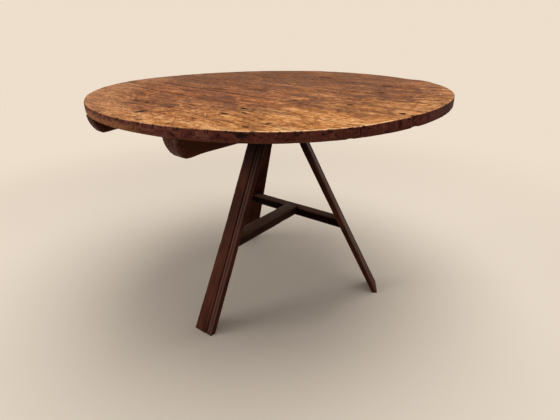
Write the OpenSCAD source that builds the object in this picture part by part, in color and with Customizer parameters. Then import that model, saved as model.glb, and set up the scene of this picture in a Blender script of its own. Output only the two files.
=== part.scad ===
// Round rustic dining table: a boarded top on two bearers, hinged on a tripod trestle.
// Millimetres, +Z up, floor at z = 0, the round top is centred on the Z axis.
// The bearers run along Y, the boards and the pivot rail run along X.

/* [Top] */
// Diameter of the round top
top_d = 1150; // [1050:10:1250]
// Height of the top surface above the floor
table_h = 750; // [730:5:770]
// Thickness of the boards
board_t = 27; // [24:0.5:32]
// Bevel of the worn upper arris
upper_arris = 3; // [1:0.5:6]
// Bevel of the lower arris
lower_arris = 2; // [1:0.5:5]

/* [Bearers] */
// Width of the right bearer
right_bearer_w = 54; // [44:1:56]
// Width of the left bearer, the slimmer of the two
left_bearer_w = 34; // [30:1:50]
// Depth of each bearer
bearer_h = 50; // [46:1:56]
// Length of each bearer from nose to nose
bearer_len = 1066; // [960:2:1070]
// Distance between the bearers, centre to centre
bearer_gap = 380; // [350:2:400]
// How far the pair of bearers stands off the top's centre along X
bearer_off = -3; // [-15:1:15]
// Radius of the rounded noses, struck from the upper edge of a bearer
nose_r = 66; // [58:1:72]
// Chamfer on the two lower arrises of a bearer
bearer_chamfer = 5; // [2:0.5:8]

/* [Trestle] */
// How far the trestle stands off the top's centre along X
trestle_x = 12; // [-15:1:15]
// How far the trestle stands off the top's centre along Y
trestle_y = 4; // [-15:1:15]
// How far the legs are turned against the bearers, in degrees
trestle_turn = 4; // [-5:0.5:5]
// Width of a leg board at its foot
leg_w = 78; // [70:1:84]
// Width of a leg board at its head
leg_head_w = 62; // [56:1:68]
// Thickness of a leg board
leg_t = 18; // [18:0.5:24]
// Radius from the trestle's axis to the middle of a foot
foot_r = 390; // [370:5:400]
// Radius from the trestle's axis to the middle of a leg at its head
head_r = 53.5; // [50:0.5:58]
// Chamfer on the plain outer arris of a leg
leg_chamfer = 3; // [1:0.5:4]
// Width of each of the two reeds along the other outer arris
reed_w = 11; // [7:0.5:12]
// Depth of the ground between the reeds
reed_depth = 3; // [1:0.5:3]

/* [Stretchers] */
// Height of the middle of the stretchers above the floor
stretcher_z = 270; // [250:1:300]
// Depth of the cross stretcher
cross_h = 32; // [28:1:38]
// Width of the cross stretcher
cross_w = 34; // [28:1:38]
// Depth of the stem stretcher
stem_h = 36; // [34:1:40]
// Width of the stem stretcher
stem_w = 42; // [28:1:44]
// How far the stem stands proud of the cross stretcher that it is tenoned into
stem_proud = 3; // [0:0.5:6]
// Chamfer on the long edges of both stretchers
stretcher_chamfer = 4; // [2:0.5:6]

/* [Pivot] */
// Width of the pivot rail
rail_w = 34; // [30:1:34]
// Diameter of the round ends of the pivot rail
trunnion_d = 24; // [20:1:26]
// Radial play of a trunnion in its bearer
trunnion_play = 0.1; // [0.05:0.01:0.1]
// Distance of the pivot behind the trestle's axis
pivot_back = 30; // [28:1:32]

/* [Catch] */
// Length of the turn button
button_len = 92; // [86:1:96]
// Width of the turn button
button_w = 26; // [22:1:28]
// Thickness of the turn button
button_t = 14; // [12:0.5:18]
// Diameter of the screw that the button turns on
button_screw_d = 7; // [5:0.5:8]

/* [Fixings] */
// Diameter of the oak pegs in the trestle
peg_d = 11; // [8:0.5:12]
// Diameter of the round nail heads in the boards
nail_head_d = 7; // [6:0.5:10]
// Diameter of the nail shanks
nail_d = 4; // [3:0.5:5]

/* [Hidden] */
BOARDS = ["top_board_1", "top_board_2", "top_board_3", "top_board_4",
    "top_board_5", "top_board_6", "top_board_7", "top_board_8"];

$fn = 64;

// Where the boards meet, from the front edge of the top to the back
seam_share = [-1, -0.757, -0.452, -0.243, 0, 0.217, 0.504, 0.765, 1];
seams = [for (s = seam_share) s * top_d / 2];

top_r = top_d / 2;
under_z = table_h - board_t;
right_bearer_x = bearer_off + bearer_gap / 2;
left_bearer_x = bearer_off - bearer_gap / 2;
bearer_low_z = under_z - bearer_h;

// The pivot rail lies across the head of the trestle, between the bearers
touch_gap = 0.3;
pivot_y = trestle_y + pivot_back;
pivot_z = under_z - bearer_h / 2;
rail_low_z = bearer_low_z;
rail_top_z = pivot_z + rail_w / 2;
rail_start_x = left_bearer_x + left_bearer_w / 2 + touch_gap;
rail_end_x = right_bearer_x - right_bearer_w / 2 - touch_gap;
trunnion_short = 1;
rail_edge = 3;
bore_d = trunnion_d + 2 * trunnion_play;

// A leg is a board that leans outward, its wide face square to its radius
leg_slope = (foot_r - head_r) / rail_low_z;
leg_lean = atan(leg_slope);
leg_len = rail_low_z / cos(leg_lean);
leg_stock_len = 1.3 * table_h;

// The reeded edge of a leg runs straight, and the plain edge closes in on it toward the head
reeded_edge = (leg_w + leg_head_w) / 4;
plain_edge = reeded_edge - leg_w;
leg_taper = atan((leg_w - leg_head_w) / leg_len);
front_angle = -90;
right_angle = 30;
left_angle = 150;
leg_angles = [front_angle, right_angle, left_angle];
front_top_z = under_z - touch_gap;

// The head block is a cone cut flat along the inner faces of the legs
head_depth = 76;
head_low_z = rail_low_z - head_depth;
head_top_r = head_r + leg_t / 2;
head_low_r = head_top_r + leg_slope * head_depth;

// Two oak pegs run square through each leg into the head block
leg_peg_depth = 28;
leg_peg_drops = [22, 54];
rail_peg_depth = 30;
rail_peg_side = 13;

// Tenons on the ends of the stretchers
tenon_h = 20;
tenon_w = 14;
cross_y = leg_r(stretcher_z) * sin(right_angle);
cross_top_z = stretcher_z + cross_h / 2;
stem_top_z = cross_top_z + stem_proud;
stem_z = stem_top_z - stem_h / 2;
stem_x = -4;

// The stem is shouldered on the near face of the cross stretcher, its blind tenon pinned there
stem_end_y = cross_y - cross_w / 2;
stem_tenon_len = 18;
front_tenon_len = 12;
stretcher_peg_d = 8;

// The turn button hangs under the right bearer and is parked along it
button_x = right_bearer_x - 6;
button_y = -14;
button_tail = 15;
button_top_z = bearer_low_z - touch_gap;
button_low_z = button_top_z - button_t;
screw_depth = 30;
screw_head_t = 4;
screw_head_d = 15;
screw_play = 0.1;

// The nails: two in each board over each bearer, none where the trunnion's bore is
nail_len = 58;
nail_head_t = 2;
nail_margin = 24;

oak = [0.24, 0.15, 0.11];
dark_oak = [0.18, 0.12, 0.09];
honey = [0.60, 0.38, 0.20];
iron = [0.16, 0.14, 0.13];

// Radius of the middle of a leg at a height
function leg_r(z) = foot_r - leg_slope * z;

// Puts the trestle's own frame in its place under the top
module on_trestle() {
    translate([trestle_x, trestle_y, 0]) rotate([0, 0, trestle_turn]) children();
}

// Turns a shape that was drawn for a leg pointing along X to that leg's side
module at_leg(angle) {
    rotate([0, 0, angle]) children();
}

// Carries a shape drawn about Z, with +X outward, onto the leaning line of a leg
module along_leg() {
    translate([foot_r, 0, 0]) rotate([0, -leg_lean, 0]) children();
}

// A square bar along X with all four long edges chamfered
module chamfered_bar(length, wide, deep, cut) {
    rotate([90, 0, 90]) linear_extrude(length) polygon([
        [-wide / 2 + cut, -deep / 2], [wide / 2 - cut, -deep / 2],
        [wide / 2, -deep / 2 + cut], [wide / 2, deep / 2 - cut],
        [wide / 2 - cut, deep / 2], [-wide / 2 + cut, deep / 2],
        [-wide / 2, deep / 2 - cut], [-wide / 2, -deep / 2 + cut]]);
}

// The round slab of the top, with both arrises of its rim bevelled
module slab() {
    translate([0, 0, under_z]) rotate_extrude($fn = 180) polygon([
        [0, 0], [top_r - lower_arris, 0], [top_r, lower_arris], [top_r, board_t - upper_arris],
        [top_r - upper_arris, board_t], [0, board_t]]);
}

// Two nail rows in each inner board, none over the bore of a bearer
function nail_rows(i) = [for (share = [0.28, 0.72]) seams[i] + share * (seams[i + 1] - seams[i])];
inner_rows = [for (i = [1:6]) for (y = nail_rows(i)) if (abs(y - pivot_y) > nail_margin) y];
// One row in each outer board, midway between its seam and the ends of the bearers
nail_ys = concat((seams[1] - bearer_len / 2) / 2, inner_rows, (seams[7] + bearer_len / 2) / 2);

module nail() {
    translate([0, 0, table_h - nail_head_t]) cylinder(d = nail_head_d, h = nail_head_t);
    translate([0, 0, table_h - nail_len]) cylinder(d = nail_d, h = nail_len - nail_head_t);
}

module nails() {
    for (x = [left_bearer_x, right_bearer_x]) for (y = nail_ys) translate([x, y, 0]) nail();
}

module board_nails() {
    color(iron) nails();
}

// One board of the top: a strip of the round slab between two seams
module top_board(i) {
    color(honey) difference() {
        intersection() {
            slab();
            translate([-top_r - 1, seams[i], under_z - 1])
                cube([2 * top_r + 2, seams[i + 1] - seams[i], board_t + 2]);
        }
        nails();
    }
}

// Side view of a bearer, drawn with Y to the right and Z up: its noses meet the lower face in a corner
module bearer_profile() {
    half = bearer_len / 2;
    intersection() {
        translate([-half, bearer_low_z]) square([bearer_len, bearer_h]);
        union() {
            translate([-half + nose_r, bearer_low_z]) square([bearer_len - 2 * nose_r, bearer_h]);
            for (side = [-1, 1]) translate([side * (half - nose_r), under_z]) circle(nose_r);
        }
    }
}

// Section of a bearer, square above and chamfered below
module bearer_section(wide) {
    half = wide / 2;
    polygon([[-half + bearer_chamfer, bearer_low_z], [half - bearer_chamfer, bearer_low_z],
        [half, bearer_low_z + bearer_chamfer], [half, under_z],
        [-half, under_z], [-half, bearer_low_z + bearer_chamfer]]);
}

module bearer(x_mid, wide) {
    difference() {
        intersection() {
            translate([x_mid - wide / 2, 0, 0])
                rotate([90, 0, 90]) linear_extrude(wide) bearer_profile();
            translate([x_mid, bearer_len / 2, 0])
                rotate([90, 0, 0]) linear_extrude(bearer_len) bearer_section(wide);
        }
        translate([x_mid - wide, pivot_y, pivot_z])
            rotate([0, 90, 0]) cylinder(d = bore_d, h = 2 * wide);
        nails();
    }
}

module right_bearer() {
    color(dark_oak) difference() {
        bearer(right_bearer_x, right_bearer_w);
        screw_shape();
    }
}

module left_bearer() {
    color(dark_oak) bearer(left_bearer_x, left_bearer_w);
}

// The rail with a round trunnion at each end
module pivot_rail() {
    deep = rail_top_z - rail_low_z;
    left_end_x = left_bearer_x - left_bearer_w / 2 + trunnion_short;
    right_end_x = right_bearer_x + right_bearer_w / 2 - trunnion_short;
    color(oak) difference() {
        union() {
            translate([rail_start_x, pivot_y, rail_low_z + deep / 2])
                chamfered_bar(rail_end_x - rail_start_x, rail_w, deep, rail_edge);
            translate([left_end_x, pivot_y, pivot_z])
                rotate([0, 90, 0]) cylinder(d = trunnion_d, h = right_end_x - left_end_x);
        }
        rail_peg_shapes();
    }
}

// Two upright pegs that hold the rail down on the head block
module rail_peg_shapes() {
    for (side = [-1, 1])
        translate([trestle_x + side * rail_peg_side, pivot_y, rail_low_z - rail_peg_depth])
            cylinder(d = peg_d, h = rail_peg_depth + rail_top_z - rail_low_z);
}

module rail_pegs() {
    color(dark_oak) rail_peg_shapes();
}

// All the room inward of a face of a leg: the inner face, or the outer one
module inside_face(angle, face) {
    big = 900;
    at_leg(angle) along_leg() translate([face * leg_t / 2 - big, -big, -big / 2])
        cube([big, 2 * big, 2 * big]);
}

module leg_peg_shapes() {
    for (angle = leg_angles) for (drop = leg_peg_drops)
        at_leg(angle) along_leg()
            translate([-leg_t / 2 - leg_peg_depth, 0, (rail_low_z - drop) / cos(leg_lean)])
                rotate([0, 90, 0]) cylinder(d = peg_d, h = leg_t + leg_peg_depth);
}

module leg_pegs() {
    color(dark_oak) on_trestle() leg_peg_shapes();
}

// The block that the three legs are pegged to
module head_block() {
    color(oak) difference() {
        on_trestle() intersection() {
            translate([0, 0, head_low_z])
                cylinder(r1 = head_low_r, r2 = head_top_r, h = rail_low_z - head_low_z);
            room_between_legs();
        }
        on_trestle() leg_peg_shapes();
        rail_peg_shapes();
    }
}

module room_between_legs() {
    intersection() {
        inside_face(front_angle, -1);
        inside_face(right_angle, -1);
        inside_face(left_angle, -1);
    }
}

// Section of a leg board: +X is its outer face, with two reeds sunk along one edge of it
module leg_section() {
    reed_ground = leg_t / 2 - reed_depth;
    reeds_start = reeded_edge - 2 * reed_w;
    polygon([[-leg_t / 2, -leg_w], [leg_t / 2, -leg_w], [leg_t / 2, reeds_start - reed_depth],
        [reed_ground, reeds_start - reed_depth], [reed_ground, reeded_edge - reed_w / 2],
        [leg_t / 2 - reed_w / 2, reeded_edge], [-leg_t / 2, reeded_edge]]);
    for (reed = [0, 1])
        translate([leg_t / 2 - reed_w / 2, reeds_start + (reed + 0.5) * reed_w]) circle(reed_w / 2);
}

// All that lies beyond the tapered plain edge of a leg and beyond its chamfered arris
module beyond_plain_edge() {
    translate([0, plain_edge, 0]) rotate([-leg_taper, 0, 0]) translate([0, 0, -leg_w])
        linear_extrude(leg_stock_len) polygon([[-leg_t, -leg_w], [leg_t, -leg_w],
            [leg_t, leg_t / 2 + leg_chamfer], [leg_t / 2 - leg_chamfer, 0], [-leg_t, 0]]);
}

// A leg board with its foot and head cut level
module leg(angle, top_z) {
    color(oak) on_trestle() difference() {
        at_leg(angle) intersection() {
            along_leg() difference() {
                translate([0, 0, -leg_w]) linear_extrude(leg_stock_len) leg_section();
                beyond_plain_edge();
            }
            translate([0, -leg_w, 0]) cube([foot_r + leg_w, 2 * leg_w, top_z]);
        }
        leg_peg_shapes();
        cross_tenon_bar();
        stem_tenon_bar();
    }
}

module front_leg() {
    leg(front_angle, front_top_z);
}

module right_leg() {
    leg(right_angle, rail_low_z);
}

module left_leg() {
    leg(left_angle, rail_low_z);
}

// The bar that both tenons of the cross stretcher are the ends of
module cross_tenon_bar() {
    translate([-foot_r, cross_y - tenon_w / 2, stretcher_z - tenon_h / 2])
        cube([2 * foot_r, tenon_w, tenon_h]);
}

// The stem's two blind tenons as one bar, which ends inside the front leg and the cross stretcher
module stem_tenon_bar() {
    start_y = -leg_r(stem_z) + leg_t / 2 / cos(leg_lean) - front_tenon_len;
    translate([stem_x - tenon_w / 2, start_y, stem_z - tenon_h / 2])
        cube([tenon_w, stem_end_y + stem_tenon_len - start_y, tenon_h]);
}

// Runs between the two back legs, shouldered on their inner faces
module cross_stretcher() {
    color(oak) on_trestle() difference() {
        union() {
            intersection() {
                translate([-foot_r, cross_y, stretcher_z])
                    chamfered_bar(2 * foot_r, cross_w, cross_h, stretcher_chamfer);
                inside_face(right_angle, -1);
                inside_face(left_angle, -1);
            }
            intersection() {
                cross_tenon_bar();
                inside_face(right_angle, 1);
                inside_face(left_angle, 1);
            }
        }
        stem_tenon_bar();
        stretcher_peg_shape(2 * cross_h);
    }
}

// Runs from the front leg to the middle of the cross stretcher
module stem_stretcher() {
    color(oak) on_trestle() difference() {
        union() {
            intersection() {
                translate([stem_x, -foot_r, stem_z]) rotate([0, 0, 90])
                    chamfered_bar(foot_r + stem_end_y, stem_w, stem_h, stretcher_chamfer);
                inside_face(front_angle, -1);
            }
            stem_tenon_bar();
        }
        stretcher_peg_shape(2 * cross_h);
    }
}

// The upright peg that pins the tenon of the stem in the cross stretcher
module stretcher_peg_shape(length) {
    translate([stem_x, stem_end_y + stem_tenon_len / 2, stretcher_z - length / 2])
        cylinder(d = stretcher_peg_d, h = length);
}

module stretcher_peg() {
    color(dark_oak) on_trestle() stretcher_peg_shape(cross_h);
}

// The turn button: a bar with round ends, parked along the bearer toward the front
module turn_button() {
    tip_y = -(button_len - button_tail - button_w / 2);
    color(oak) translate([button_x, button_y, button_low_z]) difference() {
        union() {
            cylinder(d = button_w, h = button_t);
            translate([0, tip_y, 0]) cylinder(d = button_w, h = button_t);
            translate([-button_w / 2, tip_y, 0]) cube([button_w, -tip_y, button_t]);
        }
        translate([0, 0, -1]) cylinder(d = button_screw_d + 2 * screw_play, h = button_t + 2);
    }
}

// The screw that the button turns on, driven up into the right bearer
module screw_shape() {
    translate([button_x, button_y, 0]) {
        translate([0, 0, button_low_z - touch_gap])
            cylinder(d = button_screw_d, h = bearer_low_z + screw_depth - button_low_z + touch_gap);
        translate([0, 0, button_low_z - touch_gap - screw_head_t])
            cylinder(d = screw_head_d, h = screw_head_t);
    }
}

module button_screw() {
    color(iron) screw_shape();
}

top_board(0);  // top_board_1
top_board(1);  // top_board_2
top_board(2);  // top_board_3
top_board(3);  // top_board_4
top_board(4);  // top_board_5
top_board(5);  // top_board_6
top_board(6);  // top_board_7
top_board(7);  // top_board_8
right_bearer();
left_bearer();
board_nails();
pivot_rail();
head_block();
rail_pegs();
front_leg();
right_leg();
left_leg();
leg_pegs();
cross_stretcher();
stem_stretcher();
stretcher_peg();
turn_button();
button_screw();
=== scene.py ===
import bpy, bmesh, math
import numpy as np
from mathutils import Matrix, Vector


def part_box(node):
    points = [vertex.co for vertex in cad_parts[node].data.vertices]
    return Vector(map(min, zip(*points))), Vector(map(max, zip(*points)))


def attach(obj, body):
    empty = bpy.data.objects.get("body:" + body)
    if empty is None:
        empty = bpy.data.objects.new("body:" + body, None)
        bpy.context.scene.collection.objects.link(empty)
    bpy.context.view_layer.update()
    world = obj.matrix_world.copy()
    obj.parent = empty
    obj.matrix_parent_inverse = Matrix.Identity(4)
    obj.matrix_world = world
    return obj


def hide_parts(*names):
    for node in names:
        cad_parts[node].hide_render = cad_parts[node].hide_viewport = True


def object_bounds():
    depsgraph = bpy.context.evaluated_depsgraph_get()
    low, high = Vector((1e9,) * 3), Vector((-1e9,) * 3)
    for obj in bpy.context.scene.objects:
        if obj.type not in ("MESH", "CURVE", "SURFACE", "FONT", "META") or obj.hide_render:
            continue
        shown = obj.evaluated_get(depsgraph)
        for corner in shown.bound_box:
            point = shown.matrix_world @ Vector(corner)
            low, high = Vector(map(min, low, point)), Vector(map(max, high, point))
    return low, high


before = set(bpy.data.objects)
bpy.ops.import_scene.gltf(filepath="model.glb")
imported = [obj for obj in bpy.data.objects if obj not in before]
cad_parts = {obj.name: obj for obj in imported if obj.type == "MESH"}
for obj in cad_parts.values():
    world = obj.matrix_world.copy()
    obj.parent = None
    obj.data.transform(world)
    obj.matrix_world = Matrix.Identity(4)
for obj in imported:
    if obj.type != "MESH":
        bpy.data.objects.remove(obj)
cad_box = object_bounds()

# Shapes are written in millimetres and degrees, materials and the stage in metres
MM = 0.001

# The top, from the frame
BOARDS = [f"top_board_{i + 1}" for i in range(8)]
R = round(cad_box[1][0] / MM, 1)
TOP_Z = round(cad_box[1][2] / MM, 1)
LOW_Z = round(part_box(BOARDS[0])[0].z / MM, 1)
SEAMS = [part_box(board)[0].y / MM for board in BOARDS] + [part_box(BOARDS[-1])[1].y / MM]
# The bore of a bearer for the pivot rail, as in the part
PIVOT_Y, PIVOT_Z, BORE_R = 34.0, 698.0, 12.1

# How open and dirty each seam is, from the front rim to the back one
OPEN = [1.0, 0.3, 0.7, 1.75, 0.3, 0.45, 0.35, 0.4, 1.0]
# Gap between a board and its neighbour, on each side of the seam
SEAM_GAP = 0.12
# Each board's own tone, and how far it lies under its neighbours
TINTS = [(1.06, 1.04, 1.02), (1.0, 0.97, 0.93), (1.08, 0.96, 0.86), (0.88, 0.82, 0.79), (1.0, 0.99, 0.95),
         (0.90, 0.91, 0.92), (0.92, 0.89, 0.88), (0.98, 0.94, 0.90)]
BOARD_LIFT = (0.0, -0.21, 0.0, -0.3, -0.06, -0.24, -0.06, -0.18)

# The top is warped like a saddle: the rise of its rim is a mean and a few waves round it
WARP_MEAN = 1.95
# For each: number of waves round the rim, height, angle of a crest
WARP_WAVES = [(1, 0.4, -57), (2, 4.3, 44), (3, 1.0, 17), (4, 0.5, 17), (5, 0.45, -6)]

# Damage of the rim: angle, half width in degrees, extra bevel, cut inward, pull up of the lower arris
CHIPS = [(-98.4, 0.55, 3.5, 0.6, 0), (-94.6, 0.5, 4.0, 0.8, 0), (-86.5, 0.9, 2.5, 0.6, 0),
         (-79.0, 0.6, 3.5, 0.8, 0), (-74.4, 0.5, 3.0, 0.6, 0), (-67.8, 0.7, 2.5, 0.6, 0),
         (-56.6, 0.6, 2.8, 0.5, 0), (-51.0, 1.0, 4.5, 1.0, 0), (-45.2, 0.6, 4.2, 0.8, 0),
         (-42.0, 0.45, 2.8, 0.6, 0), (-40.6, 0.5, 3.0, 0.6, 0), (-34.2, 1.0, 4.6, 1.2, 0),
         (-26.2, 0.5, 3.5, 1.0, 0), (-11.2, 0.9, 8.0, 3.2, 0), (-29.4, 1.0, 0, 0.6, 4.0),
         (-9.9, 1.1, 0, 1.2, 4.5), (5.6, 0.8, 3.5, 1.0, 0), (28, 1.0, 3.0, 0.8, 2), (63, 0.8, 4.0, 1.0, 0),
         (101, 1.2, 3.0, 0.8, 0), (139, 0.9, 3.5, 0.8, 2), (176, 1.0, 4.0, 1.2, 0), (-157, 0.9, 3.0, 1.0, 2),
         (-120, 0.6, 2.5, 0.6, 0)]
# Short upright splits of the rim: angle, half width in degrees, depth
SPLITS = [(-38.9, 0.22, 1.6), (-26.9, 0.20, 2.4), (-15.9, 0.30, 3.0), (-8.4, 0.22, 2.6), (-5.0, 0.15, 1.5),
          (5.0, 0.25, 2.5), (8.2, 0.18, 2.2), (13.5, 0.2, 2.4), (21, 0.2, 2.0), (-19.5, 0.12, 1.6),
          (158, 0.25, 2.4), (171, 0.2, 3.0), (-172, 0.22, 2.2), (-150, 0.25, 2.6)]

# Gouges and stains of the top, read off the photo: x, y, half length, half width, turn, darkness
MARKS = [(5, -490, 25, 13, 90, 1.0), (180, -365, 21, 9, 5, 1.0), (175, -290, 22, 9, -5, 1.0),
         (215, -330, 24, 7, -30, 0.8), (335, -370, 16, 8, 75, 0.95), (320, -425, 16, 7, 0, 0.9),
         (170, -450, 17, 7, 0, 0.8), (25, -345, 28, 9, -5, 0.7), (0, -395, 20, 9, -75, 0.6),
         (-105, -405, 21, 8, -10, 0.75), (170, -520, 14, 7, -85, 0.8), (95, -330, 18, 9, 5, 0.55),
         (-160, -405, 35, 13, 5, 0.65), (-230, -340, 18, 9, 0, 0.5), (-200, -195, 37, 15, -5, 0.45),
         (-145, -110, 83, 21, 10, 0.45), (-20, -40, 59, 26, 5, 0.48), (360, -70, 19, 10, -15, 0.85),
         (530, -105, 13, 12, -5, 1.0), (270, 295, 37, 19, -5, 0.6), (-45, 365, 59, 29, -25, 0.45),
         (395, -30, 47, 29, -25, 0.42), (325, 160, 20, 13, -35, 0.85), (-200, 435, 19, 13, -20, 0.85),
         (-115, -540, 18, 9, 15, 0.45), (200, -125, 32, 17, -10, 0.38), (-215, 230, 87, 27, 0, 0.33),
         (165, 80, 75, 20, -10, 0.32), (215, -175, 18, 7, 10, 0.6), (60, -420, 13, 7, 40, 0.5),
         (265, -300, 17, 6, 30, 0.5), (420, -250, 15, 7, 0, 0.5)]
PALE_SCRATCHES = [(157, -405, 29, 2.5, -36, 0.6), (469, -267, 36, 4, -6, 0.75), (224, -260, 52, 7, 3, 0.5),
                  (116, -231, 44, 7, 4, 0.4), (182, -89, 38, 6, -4, 0.4)]
# The knot (x, y, half length, half width), the fine crack and the black patch on the rim, read likewise
KNOT = (324, 164, 40, 17)
CRACK = (504, 26, 90, 1.3, 106)
PATCH = (341, -460, 17, 13, 36)
PATCH_Z, PATCH_HIGH = 738, 11

# The bearers: the nose is an arc struck from the top's underside, down to a corner
NOSE_R = 66.0
NOSE_LONGER, NOSE_DEEPER = 3.5, 4.0

# The trestle: where it stands under the top, and how the legs lean, as in the part
TRESTLE = Matrix.Translation((12, 4, 0)) @ Matrix.Rotation(math.radians(4), 4, "Z")
FOOT_R, HEAD_R, LEG_T = 390.0, 53.5, 18.0
HEAD_Z, FRONT_HEAD_Z = 673.0, 722.7
SLOPE = (FOOT_R - HEAD_R) / HEAD_Z
LEAN = math.atan(SLOPE)
# A leg's reeded and plain edges at its foot. The reeds' side of STAY isn't tapered
REEDED, PLAIN, STAY = 35.0, -43.0, 6.0
REED_W, REED_DEEP = 11.0, 3.0
# Each leg's angle, head, seed, and rows of height, plain edge, growth of the inner face and of the outer face
LEGS = {
    "front_leg": (-90, FRONT_HEAD_Z, 201, [(0, -43, 2, 0), (200, -36.6, 2, 0), (325, -32.6, 0, 0),
                                           (723, -31.5, 0, 0)]),
    "right_leg": (30, HEAD_Z, 231, [(0, -47, 2, -2.5), (256, -43, 2.5, -2.5), (440, -39, 2.5, 0),
                                    (553, -36, 2, 2), (620, -33, 0, 1), (673, -31, 0, 0)]),
    "left_leg": (150, HEAD_Z, 261, [(0, -49, 0, 0), (673, -32, 0, 0)]),
}

# The stretchers: the part's sizes, and those that the photo shows, which are stouter
STRETCHER_Z = 270.0
CROSS_WIDE, CROSS_DEEP, CROSS_DEEP_SEEN = 34, 32, 38
STEM_DEEP, STEM_WIDE_SEEN, STEM_DEEP_SEEN = 36, 48, 40
STEM_PROUD, STEM_X, STEM_UP, CROSS_DOWN = 3.0, -7, 2, 1.8
STRETCHER_CUT = 5
CROSS_RISE = 0.0095

# The camera and the colour of the background behind the table
CAMERA_AT = (0.98665, -1.05763, 0.95988)
CAMERA_TURN, CAMERA_DOWN, CAMERA_ROLL = math.radians(41.9), math.radians(24.325), 0.00882
LENS, SENSOR = 27.0, 36.0
BACKDROP = (238, 222, 204)


# Noise for shapes
def lattice(ix, iy, iz, seed):
    """A fixed number from -1 to 1 for each lattice point."""
    h = (ix * 374761393 + iy * 668265263 + iz * 1442695041 + seed * 974634777) & 0xFFFFFFFF
    h = ((h ^ (h >> 13)) * 1274126177) & 0xFFFFFFFF
    h = ((h ^ (h >> 16)) * 2246822519) & 0xFFFFFFFF
    return ((h ^ (h >> 15)) & 0xFFFF) / 32767.5 - 1.0


def noise(p, scale, seed=0):
    """Smooth noise from -1 to 1 at points p (n, 3), with one lattice cell per scale."""
    q = np.asarray(p, float) / np.asarray(scale, float)
    i = np.floor(q).astype(np.int64)
    f = q - i
    u = f * f * (3 - 2 * f)
    out = 0
    for a in (0, 1):
        for b in (0, 1):
            for c in (0, 1):
                w = (np.where(a, u[:, 0], 1 - u[:, 0]) * np.where(b, u[:, 1], 1 - u[:, 1])
                     * np.where(c, u[:, 2], 1 - u[:, 2]))
                out = out + w * lattice(i[:, 0] + a, i[:, 1] + b, i[:, 2] + c, seed)
    return out


def step(x, a, b):
    """0 where x is under a, 1 where it is over b, smooth between."""
    t = np.clip((x - a) / (b - a), 0, 1)
    return t * t * (3 - 2 * t)


# Materials
def srgb(r, g, b):
    """A colour read in a picture, as the shader wants it."""
    def linear(c):
        c = c / 255
        return c / 12.92 if c <= 0.04045 else ((c + 0.055) / 1.055) ** 2.4
    return (linear(r), linear(g), linear(b), 1.0)


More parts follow.
